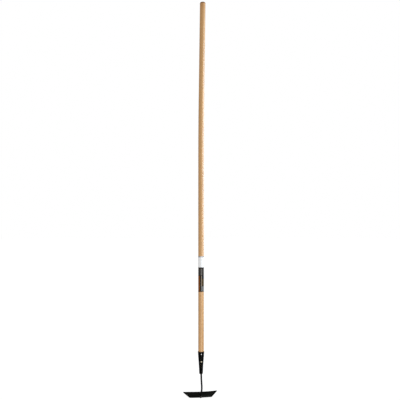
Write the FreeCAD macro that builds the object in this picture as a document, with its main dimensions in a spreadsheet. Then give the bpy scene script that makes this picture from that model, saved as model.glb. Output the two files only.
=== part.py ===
"""Grub hoe: ash handle, rolled steel socket, swan neck and a trapezoid blade.

Millimetres. +Z runs up the lower handle axis, +X to the right and +Y from the neck side of the
blade towards its cutting edge. The origin is on the ground under the handle.
"""
import FreeCAD, Part
import math
import os
import Sketcher

from FreeCAD import Placement, Rotation, Vector

os.makedirs("parts", exist_ok=True)
doc = FreeCAD.newDocument("grub_hoe")

# ---------------------------------------------------------------- driving dimensions
DIMENSIONS = [
    ("handle_diameter", 25.4, "ash shaft, one inch"),
    ("handle_top", 1813.6, "height of the handle's end above the ground"),
    ("top_rounding", 6, "rounding of the handle's end"),
    ("bend_start", 1097, "the shaft is straight up to here"),
    ("bend_length", 260, "length of the gentle natural bow"),
    ("bend_angle", 0.76, "degrees that the upper shaft leans to +X"),
    ("tang_end", 132, "bottom of the handle's tapered tang"),
    ("rim_height", 207, "top edge of the socket"),
    ("rim_radius", 14.7, "outside radius there"),
    ("shoulder_height", 186, "where the socket starts to narrow faster"),
    ("shoulder_radius", 13.25, "outside radius there"),
    ("throat_height", 142, "where the socket straightens again"),
    ("throat_radius", 10, "outside radius there"),
    ("mouth_height", 105, "bottom edge of the socket"),
    ("mouth_radius", 8.3, "outside radius there"),
    ("socket_wall", 2, "sheet thickness"),
    ("seam_top_x", -4.6, "middle of the open seam at the rim"),
    ("seam_top_gap", 0.4, "its width there"),
    ("seam_mouth_x", 2.3, "middle of the open seam at the mouth"),
    ("seam_mouth_gap", 0.9, "its width there"),
    ("flap_corner", 2.6, "rounding of the free side's lower corner"),
    ("rivet_x", 1.4, "offset of the cross rivet from the axis"),
    ("rivet_height", 161.5, "height of the cross rivet"),
    ("rivet_shank", 4, "diameter of its shank"),
    ("rivet_head", 6.4, "diameter of its heads"),
    ("rivet_crown", 1.9, "how far a head stands proud"),
    ("nail_x", 1.2, "offset of the nail from the axis"),
    ("nail_height", 196, "height of the nail under the rim"),
    ("nail_shank", 2.4, "diameter of its shank"),
    ("nail_head", 4.8, "diameter of its head"),
    ("nail_crown", 1.1, "how far its head stands proud"),
    ("nail_depth", 12, "how far it goes in from the socket's outside"),
    ("label_thickness", 0.15, "printed film round the shaft"),
    ("band_bottom", 482.5, "lower edge of the dark film"),
    ("band_top", 594.3, "where the dark film meets the white one"),
    ("header_top", 645.4, "upper edge of the white film"),
    ("neck_diameter", 8, "round bar, about five sixteenths of an inch"),
    ("neck_top", 128, "end of the bar inside the socket"),
    ("neck_x", 0.8, "offset of the bar from the socket's axis"),
    ("neck_bow_start", 86, "corner where the bar turns outwards"),
    ("neck_first_bend", 60, "axis radius of that turn"),
    ("neck_bow_x", 4.4, "furthest point of the bow"),
    ("neck_bow_y", -27, "furthest point of the bow"),
    ("neck_bow_z", 38, "furthest point of the bow"),
    ("neck_second_bend", 60, "axis radius of the turn back to the blade"),
    ("heel_back", 3.8, "heel's axis behind the blade's narrow edge"),
    ("heel_rise", 2.6, "tang's axis above the blade's inner face"),
    ("heel_bend", 6, "axis radius of the heel"),
    ("tang_length", 26, "length of the tang on the blade"),
    ("tang_taper_start", 13, "from here the tang is drawn out to a wedge"),
    ("tang_tip", 1.4, "its height above the blade at the tip"),
    ("blade_wide", 160.5, "length of the cutting edge"),
    ("blade_narrow", 101, "length of the edge at the neck"),
    ("blade_depth", 52, "from the narrow edge to the cutting edge"),
    ("blade_thickness", 2.5, "disc steel"),
    ("blade_curve", 950, "radius that the blade is dished to, side to side"),
    ("blade_corner", 2, "rounding of the blade's corners"),
    ("bevel_length", 7, "ground bevel along the cutting edge"),
    ("bevel_depth", 2, "how much of the thickness it takes"),
    ("blade_x", -1.4, "middle of the narrow edge"),
    ("blade_y", -25.5, "middle of the narrow edge"),
    ("blade_z", 1.83, "middle of the narrow edge, outer face"),
    ("blade_pitch", 11, "degrees that the cutting edge is raised"),
    ("blade_lean", 1.5, "degrees that the right end is raised"),
    ("blade_yaw", 3.5, "degrees that the right end is turned back"),
    ("bead_radius", 3, "weld bead round the heel"),
    ("bead_turn", 3.8, "radius of the bead's path round the heel"),
    ("bead_side_rise", 3.4, "side beads' axis above the blade's outer face"),
    ("bead_front_rise", 1.1, "the same at the front of the heel"),
    ("bead_fill_rise", 3.2, "axis height of the metal that fills the heel's throat"),
    ("bead_end", 14, "where the side beads stop along the tang"),
    ("plug_top", 118, "top of the plug weld in the socket's mouth"),
    ("plug_radius", 5.6, "its radius under the mouth"),
    ("plug_knee_radius", 4.2, "its radius half way down the fillet"),
    ("plug_knee", 102.4, "height there"),
    ("plug_foot_radius", 3.35, "its radius at the foot of the fillet"),
    ("plug_foot", 99, "height there"),
    ("plug_right", 1.5, "the fillet stops here, under the free side"),
    ("head_seat", 0.75, "how deep the rivet's heads sit on the cone's curve"),
    ("nail_seat", 0.5, "the same for the nail's head"),
    ("crown_rounding", 0.9, "share of a head's crown that is rounded"),
    ("bead_forward", 0.8, "how far the bead's turn lies ahead of its own radius"),
    ("cut_reach", 1, "how far a cut reaches past the metal that it takes away"),
]

sheet = doc.addObject("Spreadsheet::Sheet", "Dimensions")
for row, (alias, value, note) in enumerate(DIMENSIONS, start=1):
    sheet.set(f"A{row}", alias)
    sheet.set(f"B{row}", str(value))
    sheet.set(f"C{row}", note)
    sheet.setAlias(f"B{row}", alias)
doc.recompute()


def dim(alias):
    """The value of one cell of the sheet."""
    return float(sheet.get(alias))


def cell(alias):
    """The expression that names one cell of the sheet."""
    return f"Dimensions.{alias}"


# ---------------------------------------------------------------- helpers
def new_body(label):
    body = doc.addObject("PartDesign::Body", label)
    body.Label = label
    return body


def plane(body, role):
    return next(item for item in body.Origin.OriginFeatures if item.Role == role)


def new_sketch(body, name, role, offset=None):
    """A sketch on one of the body's own origin planes, moved along its normal by an expression."""
    sketch = body.newObject("Sketcher::SketchObject", name)
    sketch.AttachmentSupport = (plane(body, role), [""])
    sketch.MapMode = "FlatFace"
    if offset:
        sketch.setExpression("AttachmentOffset.Base.z", offset)
    return sketch


def add_circle(sketch, diameter, x="0", y="0", guess=(0, 0, 5)):
    """A circle whose diameter and centre are bound to expressions."""
    centre = Vector(guess[0], guess[1], 0)
    circle = sketch.addGeometry(Part.Circle(centre, Vector(0, 0, 1), guess[2]), False)
    size = sketch.addConstraint(Sketcher.Constraint("Diameter", circle, 2 * guess[2]))
    sketch.setExpression(f"Constraints[{size}]", diameter)
    for kind, value, start in (("DistanceX", x, guess[0]), ("DistanceY", y, guess[1])):
        place = sketch.addConstraint(Sketcher.Constraint(kind, -1, 1, circle, 3, start))
        sketch.setExpression(f"Constraints[{place}]", value)


def add_polygon(sketch, corners):
    """A closed polygon; each corner is (x expression, y expression, first x, first y)."""
    count = len(corners)
    first = []
    for index, here in enumerate(corners):
        there = corners[(index + 1) % count]
        line = Part.LineSegment(Vector(here[2], here[3], 0), Vector(there[2], there[3], 0))
        first.append(sketch.addGeometry(line, False))
    for index, line in enumerate(first):
        following = first[(index + 1) % count]
        sketch.addConstraint(Sketcher.Constraint("Coincident", line, 2, following, 1))
    for line, corner in zip(first, corners):
        for kind, value, start in (("DistanceX", corner[0], corner[2]), ("DistanceY", corner[1], corner[3])):
            place = sketch.addConstraint(Sketcher.Constraint(kind, -1, 1, line, 1, start))
            sketch.setExpression(f"Constraints[{place}]", value)
    return first


def corner(x, y):
    """A polygon corner from two expressions, which are also worked out here as a first guess."""
    return (x, y, evaluate(x), evaluate(y))


def evaluate(expression):
    """The value of an expression over the sheet's cells, for a sketch's starting geometry."""
    return float(doc.Dimensions.evalExpression(expression))


def revolve(body, sketch, name):
    """A full turn about the sketch's own vertical axis."""
    turn = body.newObject("PartDesign::Revolution", name)
    turn.Profile = sketch
    turn.ReferenceAxis = (sketch, ["V_Axis"])
    turn.Angle = 360
    return turn


def pad(body, sketch, name, length, reversed_=False):
    feature = body.newObject("PartDesign::Pad", name)
    feature.Profile = sketch
    feature.setExpression("Length", length)
    feature.Reversed = reversed_
    return feature


def pocket(body, sketch, name, length=None, reversed_=False):
    """A pocket of the given length, or through all in both directions; it has to remove metal."""
    doc.recompute()
    before = body.Shape.Volume
    feature = body.newObject("PartDesign::Pocket", name)
    feature.Profile = sketch
    if length:
        feature.setExpression("Length", length)
        feature.Reversed = reversed_
    else:
        feature.Type = "ThroughAll"
        feature.Midplane = True
    doc.recompute()
    if body.Shape.Volume >= before:
        raise RuntimeError(f"{name} cuts nothing")
    return feature


# ---------------------------------------------------------------- shaft and socket outline
HANDLE_RADIUS = cell("handle_diameter") + " / 2"
WALL = cell("socket_wall")
SOCKET_STATIONS = ("rim", "shoulder", "throat", "mouth")


def socket_radius_at(height):
    """The socket's outside radius at a height, from the stations of its outline."""
    stations = [(dim(f"{name}_height"), dim(f"{name}_radius")) for name in SOCKET_STATIONS]
    for (top, upper), (bottom, lower) in zip(stations, stations[1:]):
        if bottom <= height <= top:
            return lower + (upper - lower) * (height - bottom) / (top - bottom)
    raise ValueError("height is outside the socket")


def between(low, high, height):
    """An expression for the inside radius of the socket at a height between two stations."""
    share = f"({height} - {cell(low + '_height')}) / ({cell(high + '_height')} - {cell(low + '_height')})"
    low_radius = cell(low + "_radius")
    return f"{low_radius} + ({cell(high + '_radius')} - {low_radius}) * {share} - {WALL}"


def inside(station):
    return f"{cell(station + '_radius')} - {WALL}"


def build_handle():
    """The ash shaft: tapered tang, straight run, gentle bow, straight run and a rounded end."""
    body = new_body("handle")
    outline = new_sketch(body, "handle_outline", "XZ_Plane")
    add_polygon(outline, [
        corner("0", cell("tang_end")),
        corner(between("mouth", "throat", cell("tang_end")), cell("tang_end")),
        corner(inside("throat"), cell("throat_height")),
        corner(inside("shoulder"), cell("shoulder_height")),
        corner(HANDLE_RADIUS, cell("rim_height")),
        corner(HANDLE_RADIUS, cell("bend_start")),
        corner("0", cell("bend_start")),
    ])
    revolve(body, outline, "lower_shaft")

    section = new_sketch(body, "shaft_section", "XY_Plane", cell("bend_start"))
    add_circle(section, cell("handle_diameter"))
    path = new_sketch(body, "shaft_path", "XZ_Plane")
    angle = math.radians(dim("bend_angle"))
    radius = dim("bend_length") / angle
    start = dim("bend_start")
    bow_end = Vector(radius * (1 - math.cos(angle)), start + radius * math.sin(angle), 0)
    bow_middle = Vector(radius * (1 - math.cos(angle / 2)), start + radius * math.sin(angle / 2), 0)
    rest = (dim("handle_top") - bow_end.y) / math.cos(angle)
    tip = bow_end + Vector(math.sin(angle), math.cos(angle), 0) * rest
    path.addGeometry(Part.Arc(Vector(0, start, 0), bow_middle, bow_end), False)
    path.addGeometry(Part.LineSegment(bow_end, tip), False)
    path.addConstraint(Sketcher.Constraint("Coincident", 0, 1, 1, 1))
    for geometry in (0, 1):
        path.addConstraint(Sketcher.Constraint("Block", geometry))
    doc.recompute()
    upper = body.newObject("PartDesign::AdditivePipe", "upper_shaft")
    upper.Profile = section
    upper.Spine = path
    doc.recompute()

    end_edge = max(range(len(upper.Shape.Edges)), key=lambda i: upper.Shape.Edges[i].BoundBox.ZMin)
    rounding = body.newObject("PartDesign::Fillet", "rounded_end")
    rounding.Base = (upper, [f"Edge{end_edge + 1}"])
    rounding.setExpression("Radius", cell("top_rounding"))
    doc.recompute()

    # drilled in FlatFace sketches on the XZ plane, whose normal points to -Y
    rivet_hole = new_sketch(body, "rivet_hole_outline", "XZ_Plane")
    add_circle(rivet_hole, cell("rivet_shank"), cell("rivet_x"), cell("rivet_height"),
               (dim("rivet_x"), dim("rivet_height"), 2))
    pocket(body, rivet_hole, "rivet_hole")
    nail_hole = new_sketch(body, "nail_hole_outline", "XZ_Plane",
                           f"{cell('handle_diameter')} / 2 + {cell('cut_reach')}")
    add_circle(nail_hole, cell("nail_shank"), cell("nail_x"), cell("nail_height"),
               (dim("nail_x"), dim("nail_height"), 1))
    surface = dim("handle_diameter") / 2 + dim("cut_reach")
    depth = dim("nail_depth") + surface - socket_radius_at(dim("nail_height"))
    pocket(body, nail_hole, "nail_hole", str(depth))
    return body


def build_socket():
    """The rolled sheet cone with its slanting open seam and the free side's rounded corner."""
    body = new_body("socket")
    outline = new_sketch(body, "socket_outline", "XZ_Plane")
    outer = [corner(cell(f"{name}_radius"), cell(f"{name}_height")) for name in SOCKET_STATIONS]
    inner = [corner(inside(name), cell(f"{name}_height")) for name in reversed(SOCKET_STATIONS)]
    add_polygon(outline, outer + inner)
    revolve(body, outline, "rolled_cone")

    seam = new_sketch(body, "seam_outline", "XZ_Plane")
    edges = (("rim", "seam_top", 1), ("mouth", "seam_mouth", -1))
    corners = []
    for station, name, side in edges:
        # the cut runs past both ends of the socket
        height = f"{cell(station + '_height')} + {side} * {cell('cut_reach')}"
        half = f"{cell(name + '_gap')} / 2"
        middle = cell(name + "_x")
        corners.append(corner(f"{middle} - {side} * {half}", height))
        corners.append(corner(f"{middle} + {side} * {half}", height))
    add_polygon(seam, corners)
    pocket(body, seam, "open_seam", f"{cell('rim_radius')} + {cell('cut_reach')}", True)

    # the free side's lower corner: a square whose inner corner is rounded, cut straight through
    flap = new_sketch(body, "flap_corner_outline", "XZ_Plane")
    size = dim("flap_corner")
    right = dim("mouth_radius")
    base = dim("mouth_height")
    low_left = Vector(right - size, base, 0)
    high_right = Vector(right, base + size, 0)
    centre = Vector(right - size, base + size, 0)
    middle = centre + Vector(math.cos(math.radians(-45)), math.sin(math.radians(-45)), 0) * size
    past = dim("cut_reach")
    outside = (
        Vector(right + past, base + size, 0),
        Vector(right + past, base - past, 0),
        Vector(right - size, base - past, 0),
    )
    flap.addGeometry(Part.Arc(low_left, middle, high_right), False)
    chain = (high_right,) + outside + (low_left,)
    for here, there in zip(chain, chain[1:]):
        flap.addGeometry(Part.LineSegment(here, there), False)
    for geometry in range(5):
        flap.addConstraint(Sketcher.Constraint("Block", geometry))
    pocket(body, flap, "flap_corner")

    # the rivet goes through both walls and the nail through the front one
    for kind, length in (("rivet", None), ("nail", f"{cell('rim_radius')} + {cell('cut_reach')}")):
        hole = new_sketch(body, f"{kind}_bore_outline", "XZ_Plane")
        add_circle(hole, cell(f"{kind}_shank"), cell(f"{kind}_x"), cell(f"{kind}_height"),
                   (dim(f"{kind}_x"), dim(f"{kind}_height"), dim(f"{kind}_shank") / 2))
        pocket(body, hole, f"{kind}_bore", length, True)
    return body


def head_profile(reach, shank, head, seat, crown, start):
    """Corners of a headed pin's half section from its far end to the crown of its head."""
    return [
        corner("0", start),
        corner(f"{shank} / 2", start),
        corner(f"{shank} / 2", seat),
        corner(f"{head} / 2", seat),
        corner(f"{head} / 2", f"{reach} + {crown}"),
        corner("0", f"{reach} + {crown}"),
    ]


def round_crowns(body, feature, radius, levels):
    """Rounds the outer edges of the heads, which lie at the given levels of the pin's axis."""
    doc.recompute()
    names = []
    for number, edge in enumerate(feature.Shape.Edges, start=1):
        box = edge.BoundBox
        flat = box.ZLength < 1e-6 and box.XLength > 1e-3
        if flat and any(abs(box.ZMin - level) < 1e-4 for level in levels):
            names.append(f"Edge{number}")
    rounding = body.newObject("PartDesign::Fillet", feature.Name + "_crowns")
    rounding.Base = (feature, names)
    rounding.setExpression("Radius", radius)


def seated(body, label):
    """The pin with the underside of its heads fitted to the socket's round wall."""
    cut = doc.addObject("Part::Cut", label)
    cut.Base = body
    cut.Tool = socket
    cut.Label = label
    return cut


def build_rivet():
    """The cross rivet: one shank through socket and tang with a domed head at each end."""
    body = new_body("rivet_blank")
    outline = new_sketch(body, "rivet_outline", "XZ_Plane")
    reach = str(socket_radius_at(dim("rivet_height")))
    shank, head, crown = cell("rivet_shank"), cell("rivet_head"), cell("rivet_crown")
    seat = f"({reach} - {cell('head_seat')})"
    front = head_profile(reach, shank, head, seat, crown, "0")
    corners = [corner("0", f"-({reach} + {crown})"), corner(f"{head} / 2", f"-({reach} + {crown})"),
               corner(f"{head} / 2", f"-{seat}"), corner(f"{shank} / 2", f"-{seat}")]
    add_polygon(outline, corners + front[2:])
    turned = revolve(body, outline, "rivet_turned")
    level = evaluate(f"{reach} + {crown}")
    round_crowns(body, turned, f"{crown} * {cell('crown_rounding')}", (level, -level))
    body.Placement.Rotation = Rotation(Vector(1, 0, 0), 90)
    body.setExpression("Placement.Base.x", cell("rivet_x"))
    body.setExpression("Placement.Base.z", cell("rivet_height"))
    return seated(body, "socket_rivet")


def build_nail():
    """The short nail under the rim, driven from the front into the tang."""
    body = new_body("nail_blank")
    outline = new_sketch(body, "nail_outline", "XZ_Plane")
    reach = str(socket_radius_at(dim("nail_height")))
    crown = cell("nail_crown")
    seat = f"({reach} - {cell('nail_seat')})"
    add_polygon(outline, head_profile(reach, cell("nail_shank"), cell("nail_head"),
                                      seat, crown, f"{reach} - {cell('nail_depth')}"))
    turned = revolve(body, outline, "nail_turned")
    round_crowns(body, turned, f"{crown} * {cell('crown_rounding')}", (evaluate(f"{reach} + {crown}"),))
    body.Placement.Rotation = Rotation(Vector(1, 0, 0), 90)
    body.setExpression("Placement.Base.x", cell("nail_x"))
    body.setExpression("Placement.Base.z", cell("nail_height"))
    return seated(body, "socket_nail")


def build_film(label, bottom, top):
    """One printed film wrapped round the shaft."""
    body = new_body(label)
    ring = new_sketch(body, f"{label}_ring", "XY_Plane", cell(bottom))
    outside = f"{cell('handle_diameter')} + 2 * {cell('label_thickness')}"
    add_circle(ring, outside, guess=(0, 0, evaluate(outside) / 2))
    add_circle(ring, cell("handle_diameter"), guess=(0, 0, dim("handle_diameter") / 2))
    pad(body, ring, f"{label}_wrap", f"{cell(top)} - {cell(bottom)}")
    return body


# ---------------------------------------------------------------- blade
def build_blade():
    """The dished trapezoid: a bevelled section swept round the dish's axis, cut to its outline."""
    body = new_body("blade")
    section = new_sketch(body, "blade_section", "YZ_Plane")
    depth, thickness = cell("blade_depth"), cell("blade_thickness")
    axis = section.addGeometry(Part.LineSegment(Vector(0, dim("blade_curve"), 0),
                                                Vector(dim("blade_depth"), dim("blade_curve"), 0)), True)
    section.addConstraint(Sketcher.Constraint("Horizontal", axis))
    limits = (("DistanceX", 1, "0"), ("DistanceY", 1, cell("blade_curve")), ("DistanceX", 2, depth))
    for kind, end, value in limits:
        place = section.addConstraint(Sketcher.Constraint(kind, -1, 1, axis, end, evaluate(value)))
        section.setExpression(f"Constraints[{place}]", value)
    add_polygon(section, [
        corner("0", "0"),
        corner(f"{depth} - {cell('bevel_length')}", "0"),
        corner(depth, cell("bevel_depth")),
        corner(depth, thickness),
        corner("0", thickness),
    ])
    dish = body.newObject("PartDesign::Revolution", "dished_strip")
    dish.Profile = section
    dish.ReferenceAxis = (section, ["Axis0"])
    dish.setExpression("Angle", f"2.4 * asin({cell('blade_wide')} / 2 / {cell('blade_curve')})")
    dish.Midplane = True
    doc.recompute()

    outline = new_sketch(body, "trapezoid", "XY_Plane")
    add_polygon(outline, [
        corner(f"-{cell('blade_narrow')} / 2", "0"),
        corner(f"{cell('blade_narrow')} / 2", "0"),
        corner(f"{cell('blade_wide')} / 2", depth),
        corner(f"-{cell('blade_wide')} / 2", depth),
    ])
    add_polygon(outline, [
        corner(f"-{cell('blade_wide')}", "-5"),
        corner(cell("blade_wide"), "-5"),
        corner(cell("blade_wide"), f"{depth} + 5"),
        corner(f"-{cell('blade_wide')}", f"{depth} + 5"),
    ])
    pocket(body, outline, "trapezoid_cut")

    base = body.Tip
    names = []
    for number, edge in enumerate(base.Shape.Edges, start=1):
        box = edge.BoundBox
        if box.ZLength > 0.4 and box.XLength < 0.3 and box.YLength < 0.3:
            names.append(f"Edge{number}")
    rounding = body.newObject("PartDesign::Fillet", "blade_corners")
    rounding.Base = (base, names)
    rounding.setExpression("Radius", cell("blade_corner"))

    yaw = Rotation(Vector(0, 0, 1), dim("blade_yaw"))
    lean = Rotation(Vector(0, 1, 0), -dim("blade_lean"))
    pitch = Rotation(Vector(1, 0, 0), dim("blade_pitch"))
    body.Placement.Rotation = yaw.multiply(lean).multiply(pitch)
    for axis_name in "xyz":
        body.setExpression(f"Placement.Base.{axis_name}", cell(f"blade_{axis_name}"))
    doc.recompute()
    return body


def on_blade(across, along, above):
    """A point given in the blade's own frame: across, from the narrow edge, above the outer face."""
    return blade.Placement.multVec(Vector(across, along, above))


# ---------------------------------------------------------------- neck and welds
def rounded_path(points, radii):
    """Straight runs between the points, joined by tangent arcs of the given radii."""
    edges = []
    start = points[0]
    for before, here, after, radius in zip(points, points[1:], points[2:], radii):
        inward = (before - here).normalize()
        onward = (after - here).normalize()
        half = inward.getAngle(onward) / 2
        reach = radius / math.tan(half)
        first = here + inward * reach
        last = here + onward * reach
        middle = here + (inward + onward).normalize() * (radius / math.sin(half) - radius)
        edges.append(Part.LineSegment(start, first).toShape())
        edges.append(Part.Arc(first, middle, last).toShape())
        start = last
    edges.append(Part.LineSegment(start, points[-1]).toShape())
    return Part.Wire(edges)


def round_bar(path, radius):
    """A solid round bar along a path of tangent runs."""
    start = path.Edges[0]
    direction = start.tangentAt(start.FirstParameter)
    circle = Part.Circle(start.valueAt(start.FirstParameter), direction, radius).toShape()
    return path.makePipeShell([Part.Wire([circle])], True, False)


def feature(label, shape):
    """A document object that holds a shape made by Part's own functions."""
    item = doc.addObject("Part::Feature", label)
    item.Shape = shape
    item.Label = label
    item.Placement = Placement()
    return item


def build_neck():
    """The swan neck: a round bar on a path in three dimensions, its tang hammered flat on the blade."""
    rise = dim("blade_thickness") + dim("heel_rise")
    points = [
        Vector(dim("neck_x"), 0, dim("neck_top")),
        Vector(dim("neck_x"), 0, dim("neck_bow_start")),
        Vector(dim("neck_bow_x"), dim("neck_bow_y"), dim("neck_bow_z")),
        on_blade(0, dim("heel_back"), rise),
        on_blade(0, dim("heel_back") + dim("tang_length"), rise),
    ]
    radii = (dim("neck_first_bend"), dim("neck_second_bend"), dim("heel_bend"))
    bar = round_bar(rounded_path(points, radii), dim("neck_diameter") / 2)

    # the wedge that hammering takes off the top of the tang, a prism across the blade
    width = dim("neck_diameter")
    face = dim("blade_thickness")
    crest = rise + width / 2
    above_bar = crest + dim("cut_reach")
    tip = dim("heel_back") + dim("tang_length") + dim("cut_reach")
    outline = [
        (dim("tang_taper_start"), crest),
        (tip, face + dim("tang_tip")),
        (tip, above_bar),
        (dim("tang_taper_start"), above_bar),
    ]
    corners = [on_blade(-width, along, above) for along, above in outline]
    side = Part.Face(Part.makePolygon(corners + corners[:1]))
    prism = side.extrude(on_blade(width, 0, 0) - on_blade(-width, 0, 0))
    return feature("neck", bar.cut(prism).cut(blade.Shape))


def build_blade_weld():
    """One bead up both sides of the tang and round the front of the heel."""
    turn = dim("bead_turn")
    side = dim("bead_side_rise")
    centre = turn - dim("bead_forward")
    left = (on_blade(-turn, dim("bead_end"), side), on_blade(-turn, centre, side))
    front = on_blade(0, centre - turn, dim("bead_front_rise"))
    right = (on_blade(turn, centre, side), on_blade(turn, dim("bead_end"), side))
    path = Part.Wire([
        Part.LineSegment(*left).toShape(),
        Part.Arc(left[1], front, right[0]).toShape(),
        Part.LineSegment(*right).toShape(),
    ])
    bead = round_bar(path, dim("bead_radius"))
    fill = Part.makeSphere(dim("bead_radius"), on_blade(0, centre - turn / 2, dim("bead_fill_rise")))
    return feature("blade_weld", bead.fuse(fill).cut(neck.Shape).cut(blade.Shape))


def build_socket_weld():
    """The plug weld in the socket's mouth, with a fillet down the left side of the bar."""
    body = new_body("weld_blank")
    outline = new_sketch(body, "weld_outline", "XZ_Plane")
    add_polygon(outline, [
        corner("0", cell("plug_top")),
        corner(between("mouth", "throat", cell("plug_top")), cell("plug_top")),
        corner(inside("mouth"), cell("mouth_height")),
        corner(cell("plug_radius"), cell("mouth_height")),
        corner(cell("plug_knee_radius"), cell("plug_knee")),
        corner(cell("plug_foot_radius"), cell("plug_foot")),
        corner("0", cell("plug_foot")),
    ])
    revolve(body, outline, "weld_plug")
    trim = new_sketch(body, "weld_trim", "XZ_Plane")
    under = f"{cell('plug_foot')} - {cell('cut_reach')}"
    outer = f"{cell('mouth_radius')} + {cell('cut_reach')}"
    add_polygon(trim, [
        corner(cell("plug_right"), under),
        corner(outer, under),
        corner(outer, cell("mouth_height")),
        corner(cell("plug_right"), cell("mouth_height")),
    ])
    pocket(body, trim, "weld_trimmed")
    cut = doc.addObject("Part::Cut", "socket_weld")
    cut.Base = body
    cut.Tool = neck
    cut.Label = "socket_weld"
    return cut


# ---------------------------------------------------------------- the assembly
handle = build_handle()
socket = build_socket()
doc.recompute()
rivet = build_rivet()
nail = build_nail()
band = build_film("label_band", "band_bottom", "band_top")
header = build_film("label_header", "band_top", "header_top")
blade = build_blade()
neck = build_neck()
blade_weld = build_blade_weld()
socket_weld = build_socket_weld()
doc.recompute()

SUB_PARTS = (handle, socket, rivet, nail, band, header, blade, neck, blade_weld, socket_weld)

for item in doc.Objects:
    if "Invalid" in item.State or "Error" in item.State:
        raise RuntimeError(f"{item.Name} failed: {item.State}")
for item in SUB_PARTS:
    shape = item.Shape
    if shape.isNull() or not shape.isValid() or not shape.Solids:
        raise RuntimeError(f"{item.Label} has no valid solid")
for item in SUB_PARTS:
    item.Shape.exportStep(f"parts/{item.Label}.step")
    box = item.Shape.optimalBoundingBox()
    size = (box.XLength, box.YLength, box.ZLength)
    print(f"{item.Label:14s} solids {len(item.Shape.Solids)}  volume {item.Shape.Volume:10.1f}  "
          f"size {size[0]:6.1f} {size[1]:6.1f} {size[2]:6.1f}  lowest {box.ZMin:7.2f}")
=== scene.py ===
"""Looks of the grub hoe: ash shaft, rolled socket, swan neck, welds, dished blade and wrap label."""

import math

import bmesh
import bpy
import numpy as np
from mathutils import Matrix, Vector, noise


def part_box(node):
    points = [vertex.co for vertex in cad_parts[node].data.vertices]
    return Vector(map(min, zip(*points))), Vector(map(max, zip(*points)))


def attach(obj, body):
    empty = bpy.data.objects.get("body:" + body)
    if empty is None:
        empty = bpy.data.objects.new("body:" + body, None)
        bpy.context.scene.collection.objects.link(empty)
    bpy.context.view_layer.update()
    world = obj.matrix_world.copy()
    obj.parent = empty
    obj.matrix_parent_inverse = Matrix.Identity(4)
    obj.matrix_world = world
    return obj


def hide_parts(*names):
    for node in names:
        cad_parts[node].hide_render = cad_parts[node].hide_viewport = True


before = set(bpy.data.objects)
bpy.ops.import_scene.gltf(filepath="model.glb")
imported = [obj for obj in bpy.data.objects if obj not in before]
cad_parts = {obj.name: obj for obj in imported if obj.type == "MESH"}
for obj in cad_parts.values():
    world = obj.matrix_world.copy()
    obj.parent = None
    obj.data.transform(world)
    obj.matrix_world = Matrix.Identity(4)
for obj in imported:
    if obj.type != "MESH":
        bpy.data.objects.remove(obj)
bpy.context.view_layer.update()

MM = 0.001
UP = Vector((0, 0, 1))
rivet_low, rivet_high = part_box("socket_rivet")
nail_low, nail_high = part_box("socket_nail")
rivet_place = (rivet_low + rivet_high) / 2
nail_place = (nail_low + nail_high) / 2
rivet_radius = (rivet_high.x - rivet_low.x) / 2
nail_radius = (nail_high.x - nail_low.x) / 2


# -------- reading the frame
def cut_points(node, place, normal):
    """The points where a plane cuts a CAD node."""
    work = bmesh.new()
    work.from_mesh(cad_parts[node].data)
    everything = work.verts[:] + work.edges[:] + work.faces[:]
    cut = bmesh.ops.bisect_plane(work, geom=everything, plane_co=place, plane_no=normal)
    points = [item.co.copy() for item in cut["geom_cut"] if isinstance(item, bmesh.types.BMVert)]
    work.free()
    return points


def section(node, height):
    """Centre and half width of a node's horizontal section, both along X and Y."""
    points = cut_points(node, Vector((0, 0, height)), UP)
    xs = [point.x for point in points]
    ys = [point.y for point in points]
    centre = Vector(((min(xs) + max(xs)) / 2, (min(ys) + max(ys)) / 2, height))
    return centre, (max(xs) - min(xs)) / 2


def interpolated(places, values):
    """A function that runs through the values given at rising places."""
    return lambda place: float(np.interp(place, places, values))


# -------- mesh helpers
def new_object(name, data):
    item = bpy.data.objects.new(name, data)
    bpy.context.collection.objects.link(item)
    return item


def make_object(name, vertices, faces, smooth=True):
    mesh = bpy.data.meshes.new(name)
    mesh.from_pydata([tuple(vertex) for vertex in vertices], [], faces)
    mesh.update()
    if smooth:
        mesh.shade_smooth()
    return new_object(name, mesh)


def loft(name, rings, flat=False):
    """A closed solid through rings of equally many points.

    Its two ends are closed by one face each or, with flat, by strips between facing points, as suits the long
    thin ends of a plate.
    """
    count = len(rings[0])
    vertices = [point for ring in rings for point in ring]
    faces = []
    for row in range(len(rings) - 1):
        for column in range(count):
            after = (column + 1) % count
            base = row * count
            faces.append((base + column, base + after, base + count + after, base + count + column))
    last = (len(rings) - 1) * count
    for start, backward in ((0, True), (last, False)):
        if flat:
            half = count // 2
            strips = [(0, 1, count - 1)]
            strips += [(near, near + 1, count - near - 1, count - near) for near in range(1, half - 1)]
            strips.append((half - 1, half, half + 1))
        else:
            strips = [tuple(range(count))]
        for strip in strips:
            corners = [start + index for index in strip]
            faces.append(corners[::-1] if backward else corners)
    return make_object(name, vertices, faces)


def sheet(name, outer, inner, rows, columns):
    """A closed sheet from the points of its two skins, which run row by row, columns + 1 to a row."""
    shift = len(outer)
    width = columns + 1
    faces = []
    for row in range(rows):
        for column in range(columns):
            a = row * width + column
            faces.append((a, a + 1, a + width + 1, a + width))
            faces.append((shift + a, shift + a + width, shift + a + width + 1, shift + a + 1))
    for column in range(columns):
        top = rows * width + column
        faces.append((column, shift + column, shift + column + 1, column + 1))
        faces.append((top, top + 1, shift + top + 1, shift + top))
    for row in range(rows):
        left = row * width
        right = left + columns
        faces.append((left, left + width, shift + left + width, shift + left))
        faces.append((right, shift + right, shift + right + width, right + width))
    return make_object(name, outer + inner, faces)


def round_edges(item, width, angle):
    """Rounds the edges that are sharper than an angle in degrees."""
    bevel = item.modifiers.new("rounded_edges", "BEVEL")
    bevel.width = width
    bevel.segments = 2
    bevel.limit_method = "ANGLE"
    bevel.angle_limit = math.radians(angle)
    bevel.harden_normals = True
    item.data.shade_smooth()


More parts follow.
